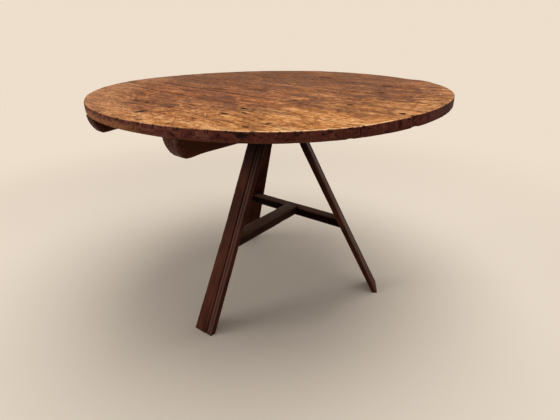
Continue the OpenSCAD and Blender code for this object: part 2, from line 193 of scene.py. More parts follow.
class Nodes:
    """A short way to write a node tree."""

    def __init__(self, tree):
        self.tree = tree
        tree.nodes.clear()

    def node(self, kind, **props):
        n = self.tree.nodes.new(kind)
        for k, v in props.items():
            setattr(n, k, v)
        return n

    def put(self, socket, value):
        if isinstance(value, bpy.types.NodeSocket):
            self.tree.links.new(value, socket)
        else:
            socket.default_value = value

    def fed(self, kind, *values, **props):
        """The first output of a new node, with values put to its first sockets."""
        n = self.node(kind, **props)
        for socket, value in zip(n.inputs, values):
            self.put(socket, value)
        return n.outputs[0]

    def math(self, op, *values):
        return self.fed("ShaderNodeMath", *values, operation=op)

    def fold(self, op, first, rest):
        for value in rest:
            first = self.math(op, first, value)
        return first

    def add(self, first, *rest):
        return self.fold("ADD", first, rest)

    def mul(self, first, *rest):
        return self.fold("MULTIPLY", first, rest)

    def most(self, first, *rest):
        return self.fold("MAXIMUM", first, rest)

    def flip(self, x):
        return self.math("SUBTRACT", 1.0, x)

    def total(self, *parts):
        """The sum of each value times its weight."""
        return self.add(*[self.mul(value, weight) for value, weight in parts])

    def swing(self, fac, amount):
        """A noise about zero, times amount."""
        return self.mul(self.add(fac, -0.5), amount)

    def band(self, x, a, b, lo=0.0, hi=1.0):
        """lo where x is on a's side, hi where x is on b's side, smooth between."""
        return self.fed("ShaderNodeMapRange", x, a, b, lo, hi, interpolation_type="SMOOTHSTEP")

    def mix(self, f, a, b, mode="MIX"):
        n = self.node("ShaderNodeMix", data_type="RGBA", blend_type=mode)
        self.put(n.inputs[0], f)
        self.put(n.inputs[6], a)
        self.put(n.inputs[7], b)
        return n.outputs[2]

    def stain(self, col, mask, amount, rgb, mode="MIX"):
        """col with so much of a colour where the mask is."""
        return self.mix(self.mul(mask, amount), col, srgb(*rgb), mode)

    def place(self, vec, scale=(1, 1, 1), turn=(0, 0, 0), loc=(0, 0, 0), kind="POINT"):
        n = self.node("ShaderNodeMapping", vector_type=kind)
        self.put(n.inputs["Vector"], vec)
        n.inputs["Location"].default_value = loc
        n.inputs["Rotation"].default_value = [math.radians(a) for a in turn]
        n.inputs["Scale"].default_value = scale
        return n.outputs[0]

    def noise(self, vec, scale, detail=3.0, rough=0.55, bend=0.0, turn=(0, 0, 0), loc=(0, 0, 0)):
        """Noise with so many waves to the metre, the same along each axis or one number for each."""
        if isinstance(scale, tuple):
            vec = self.place(vec, scale, turn, loc)
            scale = 1.0
        n = self.node("ShaderNodeTexNoise")
        self.put(n.inputs["Vector"], vec)
        for k, v in (("Scale", scale), ("Detail", detail), ("Roughness", rough), ("Distortion", bend)):
            n.inputs[k].default_value = v
        return n.outputs["Fac"]

    def ramp(self, f, *stops):
        """A colour ramp from stops of place and (r, g, b)."""
        n = self.node("ShaderNodeValToRGB")
        self.put(n.inputs[0], f)
        elements = n.color_ramp.elements
        while len(elements) < len(stops):
            elements.new(0.5)
        for element, (position, rgb) in zip(elements, stops):
            element.position = position
            element.color = srgb(*rgb)
        return n.outputs[0]

    def split(self, vec):
        n = self.node("ShaderNodeSeparateXYZ")
        self.put(n.inputs[0], vec)
        return n.outputs

    def attr(self, name, out="Vector"):
        return self.node("ShaderNodeAttribute", attribute_name=name).outputs[out]

    def length(self, vec):
        n = self.node("ShaderNodeVectorMath", operation="LENGTH")
        self.put(n.inputs[0], vec)
        return n.outputs["Value"]

    def reach(self, vec, x, y, long, wide, turn=0, z=740, high=9000):
        """Distance from an ellipsoid's centre, 1 at its surface. Its places and half lengths are in mm."""
        return self.length(self.place(vec, (long * MM, wide * MM, high * MM), (0, 0, turn),
                                      (x * MM, y * MM, z * MM), "TEXTURE"))

    def spot(self, vec, ellipse, soft, **depth):
        """1 inside an ellipsoid, fading from soft to 0 at its surface."""
        return self.band(self.reach(vec, *ellipse, **depth), soft, 1.0, 1.0, 0.0)

    def shown(self):
        """1 on the rays of the camera, of gloss and of transmission."""
        path = self.node("ShaderNodeLightPath").outputs
        return self.most(path["Is Camera Ray"], path["Is Glossy Ray"], path["Is Transmission Ray"])

    def blend(self, f, a, b):
        """Shader a where f is 0, b where it is 1."""
        return self.fed("ShaderNodeMixShader", f, a, b)


class Material(Nodes):
    """A material with one main shader."""

    def __init__(self, name):
        self.mat = bpy.data.materials.new(name)
        self.mat.use_nodes = True
        super().__init__(self.mat.node_tree)
        self.out = self.node("ShaderNodeOutputMaterial")
        self.bsdf = self.node("ShaderNodeBsdfPrincipled")
        self.put(self.out.inputs[0], self.bsdf.outputs[0])
        self.at = self.node("ShaderNodeTexCoord").outputs["Object"]

    def finish(self, colour, rough, height, depth, spec=0.5):
        bump = self.node("ShaderNodeBump")
        self.put(bump.inputs["Height"], height)
        bump.inputs["Distance"].default_value = depth
        self.put(self.bsdf.inputs["Normal"], bump.outputs[0])
        self.put(self.bsdf.inputs["Base Color"], colour)
        self.put(self.bsdf.inputs["Roughness"], rough)
        self.bsdf.inputs["Specular IOR Level"].default_value = spec
        return self.mat


class TopWood(Material):
    """The worn boards. Their meshes carry "grain", which runs along each board, "tint", whose alpha is low at
    chips, and "info": how far a point is on the rim's face, how dirty the rim is, distance to the seam."""

    def __init__(self):
        super().__init__("boards")
        self.grain = self.attr("grain")
        self.side, self.dirty, self.seam = self.split(self.attr("info"))[:3]
        self.x, self.y, self.z = self.split(self.at)[:3]
        self.radius = self.math("SQRT", self.total((self.x, self.x), (self.y, self.y)))
        # two directions on the top: toward the near right of the photo, and toward its right end
        self.near = self.total((self.x, 0.84), (self.y, -0.55))
        self.right = self.total((self.x, 0.74), (self.y, 0.67))
        self.streak = self.noise(self.grain, (3.0, 17, 15), 5, 0.64, 0.8)
        self.fibre = self.noise(self.grain, (26, 150, 150), 4, 0.68, 0.3)
        self.vein = self.noise(self.grain, (3.2, 58, 58), 3, 0.6, 0.8)
        self.blot = self.noise(self.grain, (6, 24, 20), 4, 0.65, 1.2)
        self.cloud = self.noise(self.at, (4.6, 7.5, 4), 4, 0.6, 0.6)
        self.mottle = self.noise(self.at, (13, 24, 16), 6, 0.72, 0.9)
        self.speck = self.noise(self.at, (62, 105, 60), 4, 0.7, 0.6)
        self.rim_mottle = self.noise(self.at, (34, 34, 60), 6, 0.72, 0.8)
        self.rim_speck = self.noise(self.at, (95, 95, 120), 3, 0.65, 0.6)
        self.ragged = self.ragged_place()

    def ragged_place(self, by=0.0065):
        """The same place pushed about by a fine noise, so that a mark has a ragged edge."""
        fine = self.node("ShaderNodeTexNoise")
        self.put(fine.inputs["Vector"], self.at)
        fine.inputs["Scale"].default_value = 95
        push = self.fed("ShaderNodeVectorMath", fine.outputs["Color"], (2 * by, 2 * by, 0), (-by, -by, 0),
                        operation="MULTIPLY_ADD")
        return self.fed("ShaderNodeVectorMath", self.at, push, operation="ADD")

    def scrubbed_and_lit(self):
        """Where the top is worn to gold by scrubbing, with a painted pool of light on it: broadly on its near
        right side.
        """
        clouded = self.add(self.near, self.swing(self.cloud, 0.55), self.swing(self.mottle, 0.30))
        return self.mul(self.band(clouded, 0.16, 0.44), self.band(self.right, 0.12, 0.40, 1.0, 0.35),
                        self.band(self.right, -0.36, -0.02, 0.25, 1.0))

    def rubbed(self):
        """Where sleeves have rubbed the top, close to its near rim."""
        close = self.band(self.add(self.radius, self.swing(self.mottle, 0.20)), 0.44, 0.56)
        return self.mul(close, self.band(self.near, -0.16, 0.42, 0.25, 0.95),
                        self.band(self.right, -0.42, -0.16, 0.55, 1.0),
                        self.band(self.right, 0.36, 0.56, 1.0, 0.6))

    def bare_wood(self, gold):
        t = self.total((self.streak, 0.17), (self.vein, 0.07), (self.fibre, 0.22), (self.mottle, 0.28),
                       (self.speck, 0.26))
        wood = self.ramp(t, (0.415, (54, 22, 4)), (0.47, (100, 52, 17)), (0.515, (142, 84, 42)),
                         (0.585, (182, 130, 88)))
        wood = self.mix(1.0, wood, self.attr("tint", "Color"), "MULTIPLY")
        golden = self.ramp(t, (0.41, (102, 48, 10)), (0.465, (162, 96, 36)), (0.515, (200, 138, 76)),
                           (0.585, (234, 188, 138)))
        # the gold: wear, and a painted pool of light
        wood = self.mix(self.most(self.mul(gold, 0.78), self.mul(self.rubbed(), 0.70)), wood, golden)
        # the far side is painted duller and greyer, a painted sheen, and the left end a dull tan
        far_sheen = self.band(self.add(self.total((self.x, -0.55), (self.y, 0.8)), self.swing(self.cloud, 0.6)),
                         -0.05, 0.28)
        wood = self.stain(wood, far_sheen, 0.22, (84, 50, 28))
        wood = self.stain(wood, far_sheen, 0.50, (198, 190, 180), "MULTIPLY")
        left_end = self.mul(self.band(self.radius, 0.40, 0.52), self.band(self.right, -0.28, -0.48))
        return self.stain(wood, left_end, 0.35, (192, 140, 100))

    def patina(self, wood, gold):
        """Clouds of old dirt, dark veins and pores, and small pale rubs."""
        less = self.band(gold, 0.0, 1.0, 1.0, 0.6)
        wood = self.stain(wood, self.mul(self.band(self.cloud, 0.52, 0.34), less), 0.55, (74, 34, 13))
        wood = self.stain(wood, self.mul(self.band(self.mottle, 0.49, 0.36), less), 0.52, (76, 34, 12))
        pore = self.noise(self.grain, (58, 380, 380), 2, 0.6, 0.3)
        for value, none, full, amount, rgb in (
                (self.vein, 0.43, 0.36, 0.42, (58, 28, 14)),
                (pore, 0.43, 0.35, 0.65, (44, 19, 8)),
                (self.blot, 0.60, 0.72, 0.35, (200, 142, 88)),
                (self.speck, 0.58, 0.70, 0.38, (216, 162, 106)),
                (self.speck, 0.43, 0.34, 0.50, (60, 27, 11))):
            wood = self.stain(wood, self.band(value, none, full), amount, rgb)
        return wood

    def worm_holes(self):
        cells = self.node("ShaderNodeTexVoronoi", feature="F1")
        self.put(cells.inputs["Vector"], self.place(self.at, (1, 1, 0.2)))
        cells.inputs["Scale"].default_value = 26
        return self.mul(self.band(cells.outputs["Distance"], 0.075, 0.04),
                        self.band(self.noise(self.at, 7, 2), 0.53, 0.58))

    def knot_rings(self):
        out = self.reach(self.ragged, *KNOT, high=10000)
        return self.mul(self.band(self.math("SINE", self.mul(out, 15.0)), 0.2, 0.9), self.band(out, 1.5, 0.9))

    def dark_marks(self):
        """How dark the blots, scratches, worm holes, gouges, knot and crack make a point."""
        dark = [self.mul(self.band(self.blot, 0.37, 0.27), 0.50)]
        for turn, seed, amount in ((38, 1.3, 0.45), (-17, 4.1, 0.40), (80, 7.7, 0.35)):
            lines = self.noise(self.at, (6, 190, 1), 2, 0.5, turn=(0, 0, turn), loc=(seed, seed, 0))
            patches = self.band(self.noise(self.at, (9, 9, 8), 2, loc=(seed, 0, 0)), 0.50, 0.64)
            dark.append(self.mul(self.band(lines, 0.66, 0.73), patches, amount))
        dark.append(self.mul(self.worm_holes(), 0.85))
        dark += [self.mul(self.spot(self.ragged, mark[:5], 0.45), mark[5]) for mark in MARKS]
        dark.append(self.mul(self.knot_rings(), 0.35))
        dark.append(self.mul(self.spot(self.at, CRACK, 0.3), 0.6))
        return self.most(*dark)

    def seam_dirt(self):
        patchy = self.noise(self.at, (14, 3, 3), 3, 0.6)
        return self.mul(self.band(self.seam, 0.0060, 0.0012), self.band(patchy, 0.32, 0.62, 0.20, 1.0),
                        self.band(self.add(self.x, patchy), 0.40, 1.05, 1.0, 0.30))

    def rim(self):
        """The rim's face: reddish brown and mottled, with short upright marks toward the right."""
        rays = self.noise(self.at, (80, 80, 14), 4, 0.7, 0.8)
        t = self.mix(self.band(self.x, 0.30, 0.50, 0.10, 0.50), self.rim_mottle, rays)
        col = self.ramp(t, (0.32, (46, 18, 15)), (0.44, (91, 46, 40)), (0.56, (112, 62, 52)),
                        (0.72, (150, 100, 80)))
        right_end = self.mul(self.band(self.y, -0.06, 0.07), self.band(self.x, 0.3, 0.4))
        col = self.stain(col, right_end, 0.55, (58, 33, 21))
        pits = self.mul(self.band(self.rim_speck, 0.42, 0.33), self.band(self.x, -0.1, 0.45, 0.35, 0.60))
        col = self.mix(pits, col, srgb(30, 13, 10))
        col = self.stain(col, self.band(self.rim_speck, 0.66, 0.73), 0.45, (170, 130, 104))
        low = self.band(self.add(self.z, self.swing(self.rim_mottle, 0.02)), 0.7275, 0.7242)
        col = self.stain(col, low, 0.30, (132, 84, 58))
        # toward the left end its lower half is rubbed to the colour of honey
        left = self.band(self.total((self.x, 1.0), (self.y, 0.42)), -0.06, -0.22)
        col = self.stain(col, self.mul(left, self.band(self.rim_speck, 0.52, 0.42)), 0.7, (44, 22, 13))
        half = self.band(self.add(self.z, self.swing(self.rim_mottle, 0.05)), 0.7455, 0.7385)
        col = self.stain(col, self.mul(left, half), 0.80, (158, 106, 66))
        patch = self.spot(self.ragged, PATCH, 0.35, z=PATCH_Z, high=PATCH_HIGH)
        col = self.stain(col, patch, 0.9, (32, 25, 24))
        return self.stain(col, self.mul(self.side, self.flip(self.dirty)), 0.5, (104, 62, 36))

    def rubbed_arris_highlight(self):
        """Where the upper arris and the lip beside it are rubbed pale and carry a painted highlight: here and
        there on the near side.
        """
        arris = self.mul(self.band(self.side, 0.0, 0.06), self.band(self.side, 0.7, 0.3),
                         self.band(self.mottle, 0.36, 0.54))
        lip = self.mul(self.band(self.radius, 0.5655, 0.5705), self.band(self.side, 0.5, 0.1),
                       self.band(self.rim_mottle, 0.44, 0.56), self.band(self.z, 0.735, 0.740))
        return self.mul(self.most(arris, self.mul(lip, 0.9)), self.band(self.near, 0.2, 0.4),
                        self.band(self.right, -0.16, -0.03, 0.15, 1.0),
                        self.band(self.right, 0.33, 0.22, 0.12, 1.0))

    def chips(self):
        """Where the rim is bitten: small pits, and the chips of its mesh."""
        pits = self.mul(self.band(self.side, 0.05, 0.4), self.band(self.rim_speck, 0.44, 0.36), 0.7)
        bitten = self.flip(self.attr("tint", "Alpha"))
        chip = self.mul(bitten, self.band(self.rim_speck, 0.30, 0.55, 0.7, 1.15))
        return self.most(pits, self.mul(self.band(chip, 0.25, 0.8), 0.8))

    def build(self):
        gold = self.scrubbed_and_lit()
        wood = self.patina(self.bare_wood(gold), gold)
        for scratch in PALE_SCRATCHES:
            wood = self.stain(wood, self.spot(self.ragged, scratch[:5], 0.4), scratch[5], (226, 164, 104))
        dark = self.dark_marks()
        wood = self.mix(dark, wood, srgb(30, 14, 8))
        wood = self.mix(self.seam_dirt(), wood, srgb(40, 19, 11))
        wood = self.mix(self.side, wood, self.rim())
        # the rubbed arris, with a painted highlight
        wood = self.mix(self.rubbed_arris_highlight(), wood, srgb(246, 204, 150))
        wood = self.mix(self.chips(), wood, srgb(28, 12, 8))
        # the underside was never waxed
        under = self.band(self.split(self.grain)[2], 0.7236, 0.7228)
        raw = self.ramp(self.streak, (0.3, (52, 30, 19)), (0.7, (98, 64, 42)))
        wood = self.mix(self.mul(under, 0.85), wood, raw)
        rough = self.add(self.band(self.mottle, 0.3, 0.7, 0.42, 0.60),
                         self.total((self.side, 0.14), (dark, 0.25)))
        height = self.total((self.fibre, 0.6), (self.speck, 0.5), (dark, -1.6))
        return self.finish(wood, rough, height, 0.0009, 0.038)


def stained_wood(name, deep, mid, light, worn=None, end_grain=None, turn=(0, 0, 0), wear=0.0,
                 rough=(0.36, 0.55), spec=0.09, shade=0.0, dust_and_top_light=0.0):
    """Old stained wood. A piece with end_grain has a mesh of this script, which carries its grain and edges.
    A CAD piece has neither: its grain runs along X, or as turn says. shade: how much darker the wood is
    painted close under the top, a painted shade. dust: how much paler its upper faces are: dusty, with
    painted light from above."""
    m = Material(name)
    if end_grain:
        grain = m.attr("grain")
        edge, end = m.split(m.attr("info"))[:2]
    else:
        grain = m.place(m.at, turn=turn)
        edge = 0.0
    streak = m.noise(grain, (3.2, 42, 42), 5, 0.62, 0.25)
    fibre = m.noise(grain, (14, 260, 260), 4, 0.62)
    cloud = m.noise(m.at, (9, 9, 7), 3, 0.6, 0.5)
    fleck = m.noise(grain, (26, 120, 120), 3, 0.6)
    t = m.total((streak, 0.52), (fibre, 0.30), (cloud, 0.18))
    col = m.ramp(t, (0.36, deep), (0.50, mid), (0.66, light))
    col = m.stain(col, m.band(cloud, 0.52, 0.36), 0.4, deep)
    if worn:
        col = m.stain(col, m.band(m.add(edge, m.swing(fleck, 0.9)), 0.55, 0.95), wear, worn)
    pits = m.band(fleck, 0.30, 0.24)
    col = m.stain(col, pits, 0.6, [c * 0.5 for c in deep])
    if end_grain:
        pores = m.noise(m.at, (150, 150, 150), 3, 0.6)
        col = m.mix(m.mul(end, 0.75), col, m.ramp(pores, (0.35, deep), (0.65, end_grain)))
    # painted shade: the wood is painted darker close under the top
    if shade:
        height = m.add(m.split(m.at)[2], m.swing(cloud, 0.1))
        col = m.stain(col, m.band(height, 0.45, 0.60), shade, (15, 3, 1))
    if dust_and_top_light:
        up = m.split(m.node("ShaderNodeNewGeometry").outputs["Normal"])[2]
        lying = m.mul(m.band(up, 0.2, 0.9), m.band(streak, 0.3, 0.6, 0.7, 1.1))
        # upward faces painted paler: dusty, and a painted light from above
        col = m.stain(col, lying, dust_and_top_light, (116, 87, 75))
    roughness = m.add(m.band(streak, 0.3, 0.7, *rough), m.mul(cloud, 0.08))
    return m.finish(col, roughness, m.total((fibre, 0.6), (streak, 0.4), (pits, -1.0)), 0.0008, spec)


def old_iron():
    m = Material("old_iron")
    broad = m.noise(m.at, 260, 4, 0.6)
    fine = m.noise(m.at, 900, 3, 0.6)
    col = m.ramp(broad, (0.35, (50, 32, 23)), (0.55, (78, 50, 35)), (0.72, (104, 66, 42)))
    m.bsdf.inputs["Metallic"].default_value = 0.25
    return m.finish(col, m.band(fine, 0.3, 0.7, 0.5, 0.75), m.add(broad, fine), 0.0004)


BOARD_WOOD = TopWood().build()
LEG_WOOD = stained_wood("leg_stain", (36, 14, 9), (82, 41, 28), (114, 67, 47), (114, 86, 79), (88, 54, 36),
                        wear=0.6, spec=0.035, shade=0.92)
BEARER_WOOD = stained_wood("bearer_stain", (26, 7, 2), (70, 23, 8), (98, 39, 14), (104, 66, 48),
                           (108, 73, 63), wear=0.35, rough=(0.45, 0.62), spec=0.05)
STEM_WOOD = stained_wood("stretcher_stain", (18, 6, 3), (42, 20, 12), (64, 37, 26), (92, 64, 50),
                         (60, 36, 26), wear=0.6, spec=0.05, dust_and_top_light=0.5)
# the cross stretcher's stain, painted darker than the stem's as painted shade on its front
CROSS_SHADED_WOOD = stained_wood("cross_shaded_stain", (8, 2, 1), (17, 6, 4), (30, 14, 10), (72, 48, 40), (60, 36, 26),
                          wear=0.3, spec=0.012, dust_and_top_light=0.68)
HEAD_WOOD = stained_wood("head_stain", (30, 13, 7), (62, 33, 20), (88, 54, 36))
PEG_WOOD = stained_wood("peg_ends", (26, 13, 7), (56, 32, 20), (78, 48, 32), turn=(0, 90, 0))
IRON = old_iron()


# Meshes
def make(name, points, faces, mat, body, attrs, sharp):
    """A worn mesh from points in mm. It rides on body and stands for the CAD node of its name."""
    mesh = bpy.data.meshes.new(name + "_worn")
    mesh.from_pydata((np.asarray(points, float) * MM).tolist(), [], faces)
    for key, data in attrs.items():
        kind, field = ("FLOAT_COLOR", "color") if data.shape[1] == 4 else ("FLOAT_VECTOR", "vector")
        layer = mesh.attributes.new(key, kind, "POINT")
        layer.data.foreach_set(field, np.asarray(data, np.float32).ravel())
    mesh.validate()
    mesh.update()
    mesh.materials.append(mat)
    o = bpy.data.objects.new(name + "_worn", mesh)
    bpy.context.scene.collection.objects.link(o)
    mesh.polygons.foreach_set("use_smooth", [True] * len(mesh.polygons))
    mesh.set_sharp_from_angle(angle=math.radians(sharp))
    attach(o, body)
    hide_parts(name)
    return o


# The boards of the top
def near(th, at, half):
    """1 at an angle, fading to 0 at half degrees from it."""
    d = np.abs((th - at + 180) % 360 - 180)
    return 1 - step(d, half * 0.35, half)


def rim_angles():
    """Angles round the rim, even but for more of them at each chip and split."""
    base = list(np.arange(0, 360, 0.5625) - 180)
    for at, half, *_ in CHIPS:
        base += list(at + np.linspace(-1.1, 1.1, 9) * half)
    for at, half, _ in SPLITS:
        base += list(at + np.linspace(-1.2, 1.2, 7) * half)
    th = np.array(sorted(set(np.round((np.array(base) + 180) % 360 - 180, 3))))
    keep = np.ones(len(th), bool)
    keep[1:] = np.diff(th) > 0.03
    return th[keep]


def rim_wear(th, circle):
    """For each angle: upper arris, lower arris, radius of the rim's face, depth of a split, how chipped."""
    upper = 2.2 + 0.9 * noise(circle, 60, 3) + 1.0 * noise(circle, 15, 4)
    inward = 0.5 + 0.9 * noise(circle, 140, 5) + 0.35 * noise(circle, 24, 6)
    lower = 2.0 + 0.8 * noise(circle, 40, 8) + 0.6 * noise(circle, 12, 9)
    chipped = np.zeros(len(th))
    for at, half, bevel, cut, lift in CHIPS:
        w = near(th, at, half)
        upper += w * bevel
        inward += w * cut
        lower += w * lift
        chipped = np.maximum(chipped, w)
    split = np.zeros(len(th))
    for at, half, deep in SPLITS:
        split = np.maximum(split, near(th, at, half) * deep)
    return np.clip(upper, 1.6, 12), np.clip(lower, 1.2, 8), R - np.clip(inward, 0, 7), split, chipped


def slab_rings():
    """Rings of points from the middle of the top over its rim to the underside: points, rim side, chips."""
    th = rim_angles()
    a = np.radians(th)
    circle = np.stack([np.cos(a) * R, np.sin(a) * R, a * 0], 1)
    upper, lower, rim_r, split, chipped = rim_wear(th, circle)
    rings = []

    def ring(radius, z, side=0.0, chip=0.0):
        points = np.stack([np.cos(a) * radius, np.sin(a) * radius, z + a * 0], 1)
        rings.append((points, side + a * 0, chip + a * 0))

    for radius in list(np.arange(14, 480, 11.5)) + list(np.arange(486, 560, 6.0)):
        ring(radius, TOP_Z)
    # the upper arris, a quarter round: how far in and down a ring is, its rim side, its chips
    for inward, down, side, chip in ((1.0, 0.0, 0.0, 0.2), (0.62, 0.08, 0.15, 0.7), (0.29, 0.29, 0.6, 1.0),
                                     (0.08, 0.62, 0.95, 1.0), (0.0, 1.0, 1.0, 0.8)):
        ring(rim_r - upper * inward, TOP_Z - upper * down * 0.9, side, chipped * chip)
    start, end = TOP_Z - upper * 0.9, LOW_Z + lower
    for k in range(1, 7):
        f = k / 7
        z = start + (end - start) * f
        face = np.stack([circle[:, 0], circle[:, 1], z], 1)
        belly = 0.35 * noise(face, (9, 9, 4), 11) + 0.45 * math.sin(math.pi * f)
        chip = np.maximum(split / 3 * (1 - 0.5 * f), chipped * max(0.0, 0.5 - f))
        ring(rim_r - split * (1 - 0.5 * f) + belly, z, 1.0, chip)
    for inward, up, side in ((0.0, 1.0, 1.0), (0.3, 0.3, 1.0), (1.0, 0.0, 0.4)):
        ring(rim_r - lower * inward, LOW_Z + lower * up, side)
    for radius in (550, 500, 400, 250, 100):
        ring(radius, LOW_Z)
    return rings


def slab_mesh():
    """The whole top as one worn slab, before it is sawn into boards."""
    rings = slab_rings()
    n = len(rings[0][0])
    points = np.concatenate([[[0, 0, TOP_Z]]] + [ring[0] for ring in rings] + [[[0, 0, LOW_Z]]])
    after = [(int(j), int(j + 1) % n) for j in range(n)]
    faces = [(0, 1 + j, 1 + k) for j, k in after]
    for i in range(len(rings) - 1):
        o = 1 + i * n
        faces += [(o + j, o + n + j, o + n + k, o + k) for j, k in after]
    o = 1 + (len(rings) - 1) * n
    faces += [(o + j, len(points) - 1, o + k) for j, k in after]
    mesh = bpy.data.meshes.new("slab")
    mesh.from_pydata(points.tolist(), [], faces)
    for name, part in (("side", 1), ("chip", 2)):
        values = np.concatenate([[0.0]] + [ring[part] for ring in rings] + [[0.0]])
        mesh.attributes.new(name, "FLOAT", "POINT").data.foreach_set("value", values.astype(np.float32))
    return mesh


def sawn_board(slab, i):
    """Board i as its own closed mesh, with rows of points close beside its seams."""
    bm = bmesh.new()
    bm.from_mesh(slab)

    def saw(y, way, clear):
        parts = bm.verts[:] + bm.edges[:] + bm.faces[:]
        bmesh.ops.bisect_plane(bm, geom=parts, dist=1e-5, plane_co=(0, y, 0), plane_no=(0, way, 0),
                               clear_outer=clear)

    seams = [(SEAMS[i], -1)] if i > 0 else []
    seams += [(SEAMS[i + 1], 1)] if i < len(BOARDS) - 1 else []
    for y, outward in seams:
        saw(y, outward, True)
    for away in (1.6, 4.5):
        for y, outward in seams:
            saw(y - outward * away, 1, False)
    bmesh.ops.holes_fill(bm, edges=[e for e in bm.edges if e.is_boundary], sides=0)
    bmesh.ops.recalc_face_normals(bm, faces=bm.faces[:])
    board = bpy.data.meshes.new("raw_board")
    bm.to_mesh(board)
    bm.free()
    return board


def shape_top(p, i):
    """How a board's own points move: a little cup, worn seams, ripples, and the warp of the whole top."""
    y0, y1 = SEAMS[i], SEAMS[i + 1]
    q = p.copy()
    top = step(p[:, 2], LOW_Z + 14, TOP_Z - 1)
    w = (p[:, 1] - y0) / (y1 - y0)
    seam = np.minimum(p[:, 1] - y0, y1 - p[:, 1])
    cup = -0.3 * (2 * w - 1) ** 2
    ripple = 0.20 * noise(p, (150, 40, 400), 20 + i) + 0.12 * noise(p, (50, 12, 400), 40 + i) - 0.2
    worn = np.where(p[:, 1] - y0 < y1 - p[:, 1], OPEN[i], OPEN[i + 1])
    wear = -0.8 * worn * np.exp(-np.clip(seam, 0, 99) / 1.6) * (0.75 + 0.5 * noise(p, (30, 400, 400), 60 + i))
    q[:, 2] += top * np.minimum(BOARD_LIFT[i] + cup + ripple + wear, -0.12)
    r = np.hypot(p[:, 0], p[:, 1])
    angle = np.arctan2(p[:, 1], p[:, 0])
    warp = WARP_MEAN + sum(h * np.cos(k * (angle - math.radians(crest))) for k, h, crest in WARP_WAVES)
    # the boards can't leave the bearers, apart from their noses
    free = np.maximum(step(np.abs(p[:, 0]), 212, 330), 0.8 * step(np.abs(p[:, 1]), 400, 540) * (p[:, 1] < 0))
    q[:, 2] += warp * step(r, 300, R) * free
    # the right end is a little thicker
    q[:, 2] += 2.6 * near(np.degrees(angle), 6, 34) * step(r, 440, R) * top
    q[:, 1] += np.where(p[:, 1] - y0 < 0.01, SEAM_GAP, 0) - np.where(y1 - p[:, 1] < 0.01, SEAM_GAP, 0)
    return q


def values_of(mesh, name):
    values = np.zeros(len(mesh.vertices), np.float32)
    mesh.attributes[name].data.foreach_get("value", values)
    return values


def build_board(slab, i):
    raw = sawn_board(slab, i)
    n = len(raw.vertices)
    p = np.zeros(n * 3, np.float32)
    raw.vertices.foreach_get("co", p)
    p = p.reshape(-1, 3).astype(float)
    ang = np.degrees(np.arctan2(p[:, 1], p[:, 0]))
    # the far side of the rim is less dirty
    dirty = 1 - step(ang, 66, 80) * (1 - step(ang, 100, 116))
    from_front = (p[:, 1] - SEAMS[i]) / OPEN[i] if i > 0 else 999
    from_back = (SEAMS[i + 1] - p[:, 1]) / OPEN[i + 1] if i < len(BOARDS) - 1 else 999
    seam = np.clip(np.minimum(from_front, from_back), 0, 99) * MM
    tint = np.tile(np.array(TINTS[i] + (1.0,)), (n, 1))
    tint[:, 3] = 1 - np.clip(values_of(raw, "chip"), 0, 1)
    # each board is cut from another place of the tree
    grain = np.stack([p[:, 0] * MM + 1.37 * i, p[:, 1] * MM + 0.61 * i, p[:, 2] * MM], 1)
    make(BOARDS[i], shape_top(p, i), [tuple(x.vertices) for x in raw.polygons], BOARD_WOOD, "top",
         {"grain": grain, "info": np.stack([values_of(raw, "side"), dirty, seam], 1), "tint": tint}, 40)
    bpy.data.meshes.remove(raw)


slab = slab_mesh()
for i in range(len(BOARDS)):
    build_board(slab, i)
bpy.data.meshes.remove(slab)


# Bars: a section that may change along the bar
def rounded(corners, radii, per):
    """A closed outline with its corners rounded, and how exposed each of its points is, 0 to 1."""
    c = np.array(corners, float)
    pts = []
    for i in range(len(c)):
        a, b, d = c[i - 1], c[i], c[(i + 1) % len(c)]
        u, w = (a - b) / np.linalg.norm(a - b), (d - b) / np.linalg.norm(d - b)
        for t in np.arange(per + 1) / per:
            pts.append((1 - t) ** 2 * (b + u * radii[i]) + 2 * t * (1 - t) * b + t * t * (b + w * radii[i]))
    return np.array(pts), np.ones(len(pts))


def refine(pts, edge, longest):
    """Adds points on the long straight runs of an outline."""
    out, exposed = [], []
    for i in range(len(pts)):
        a, b = pts[i], pts[(i + 1) % len(pts)]
        out.append(a)
        exposed.append(edge[i])
        more = int(np.linalg.norm(b - a) // longest)
        for j in range(1, more + 1):
            out.append(a + (b - a) * j / (more + 1))
            exposed.append(0.25 if j in (1, more) else 0.0)
    return np.array(out), np.array(exposed)


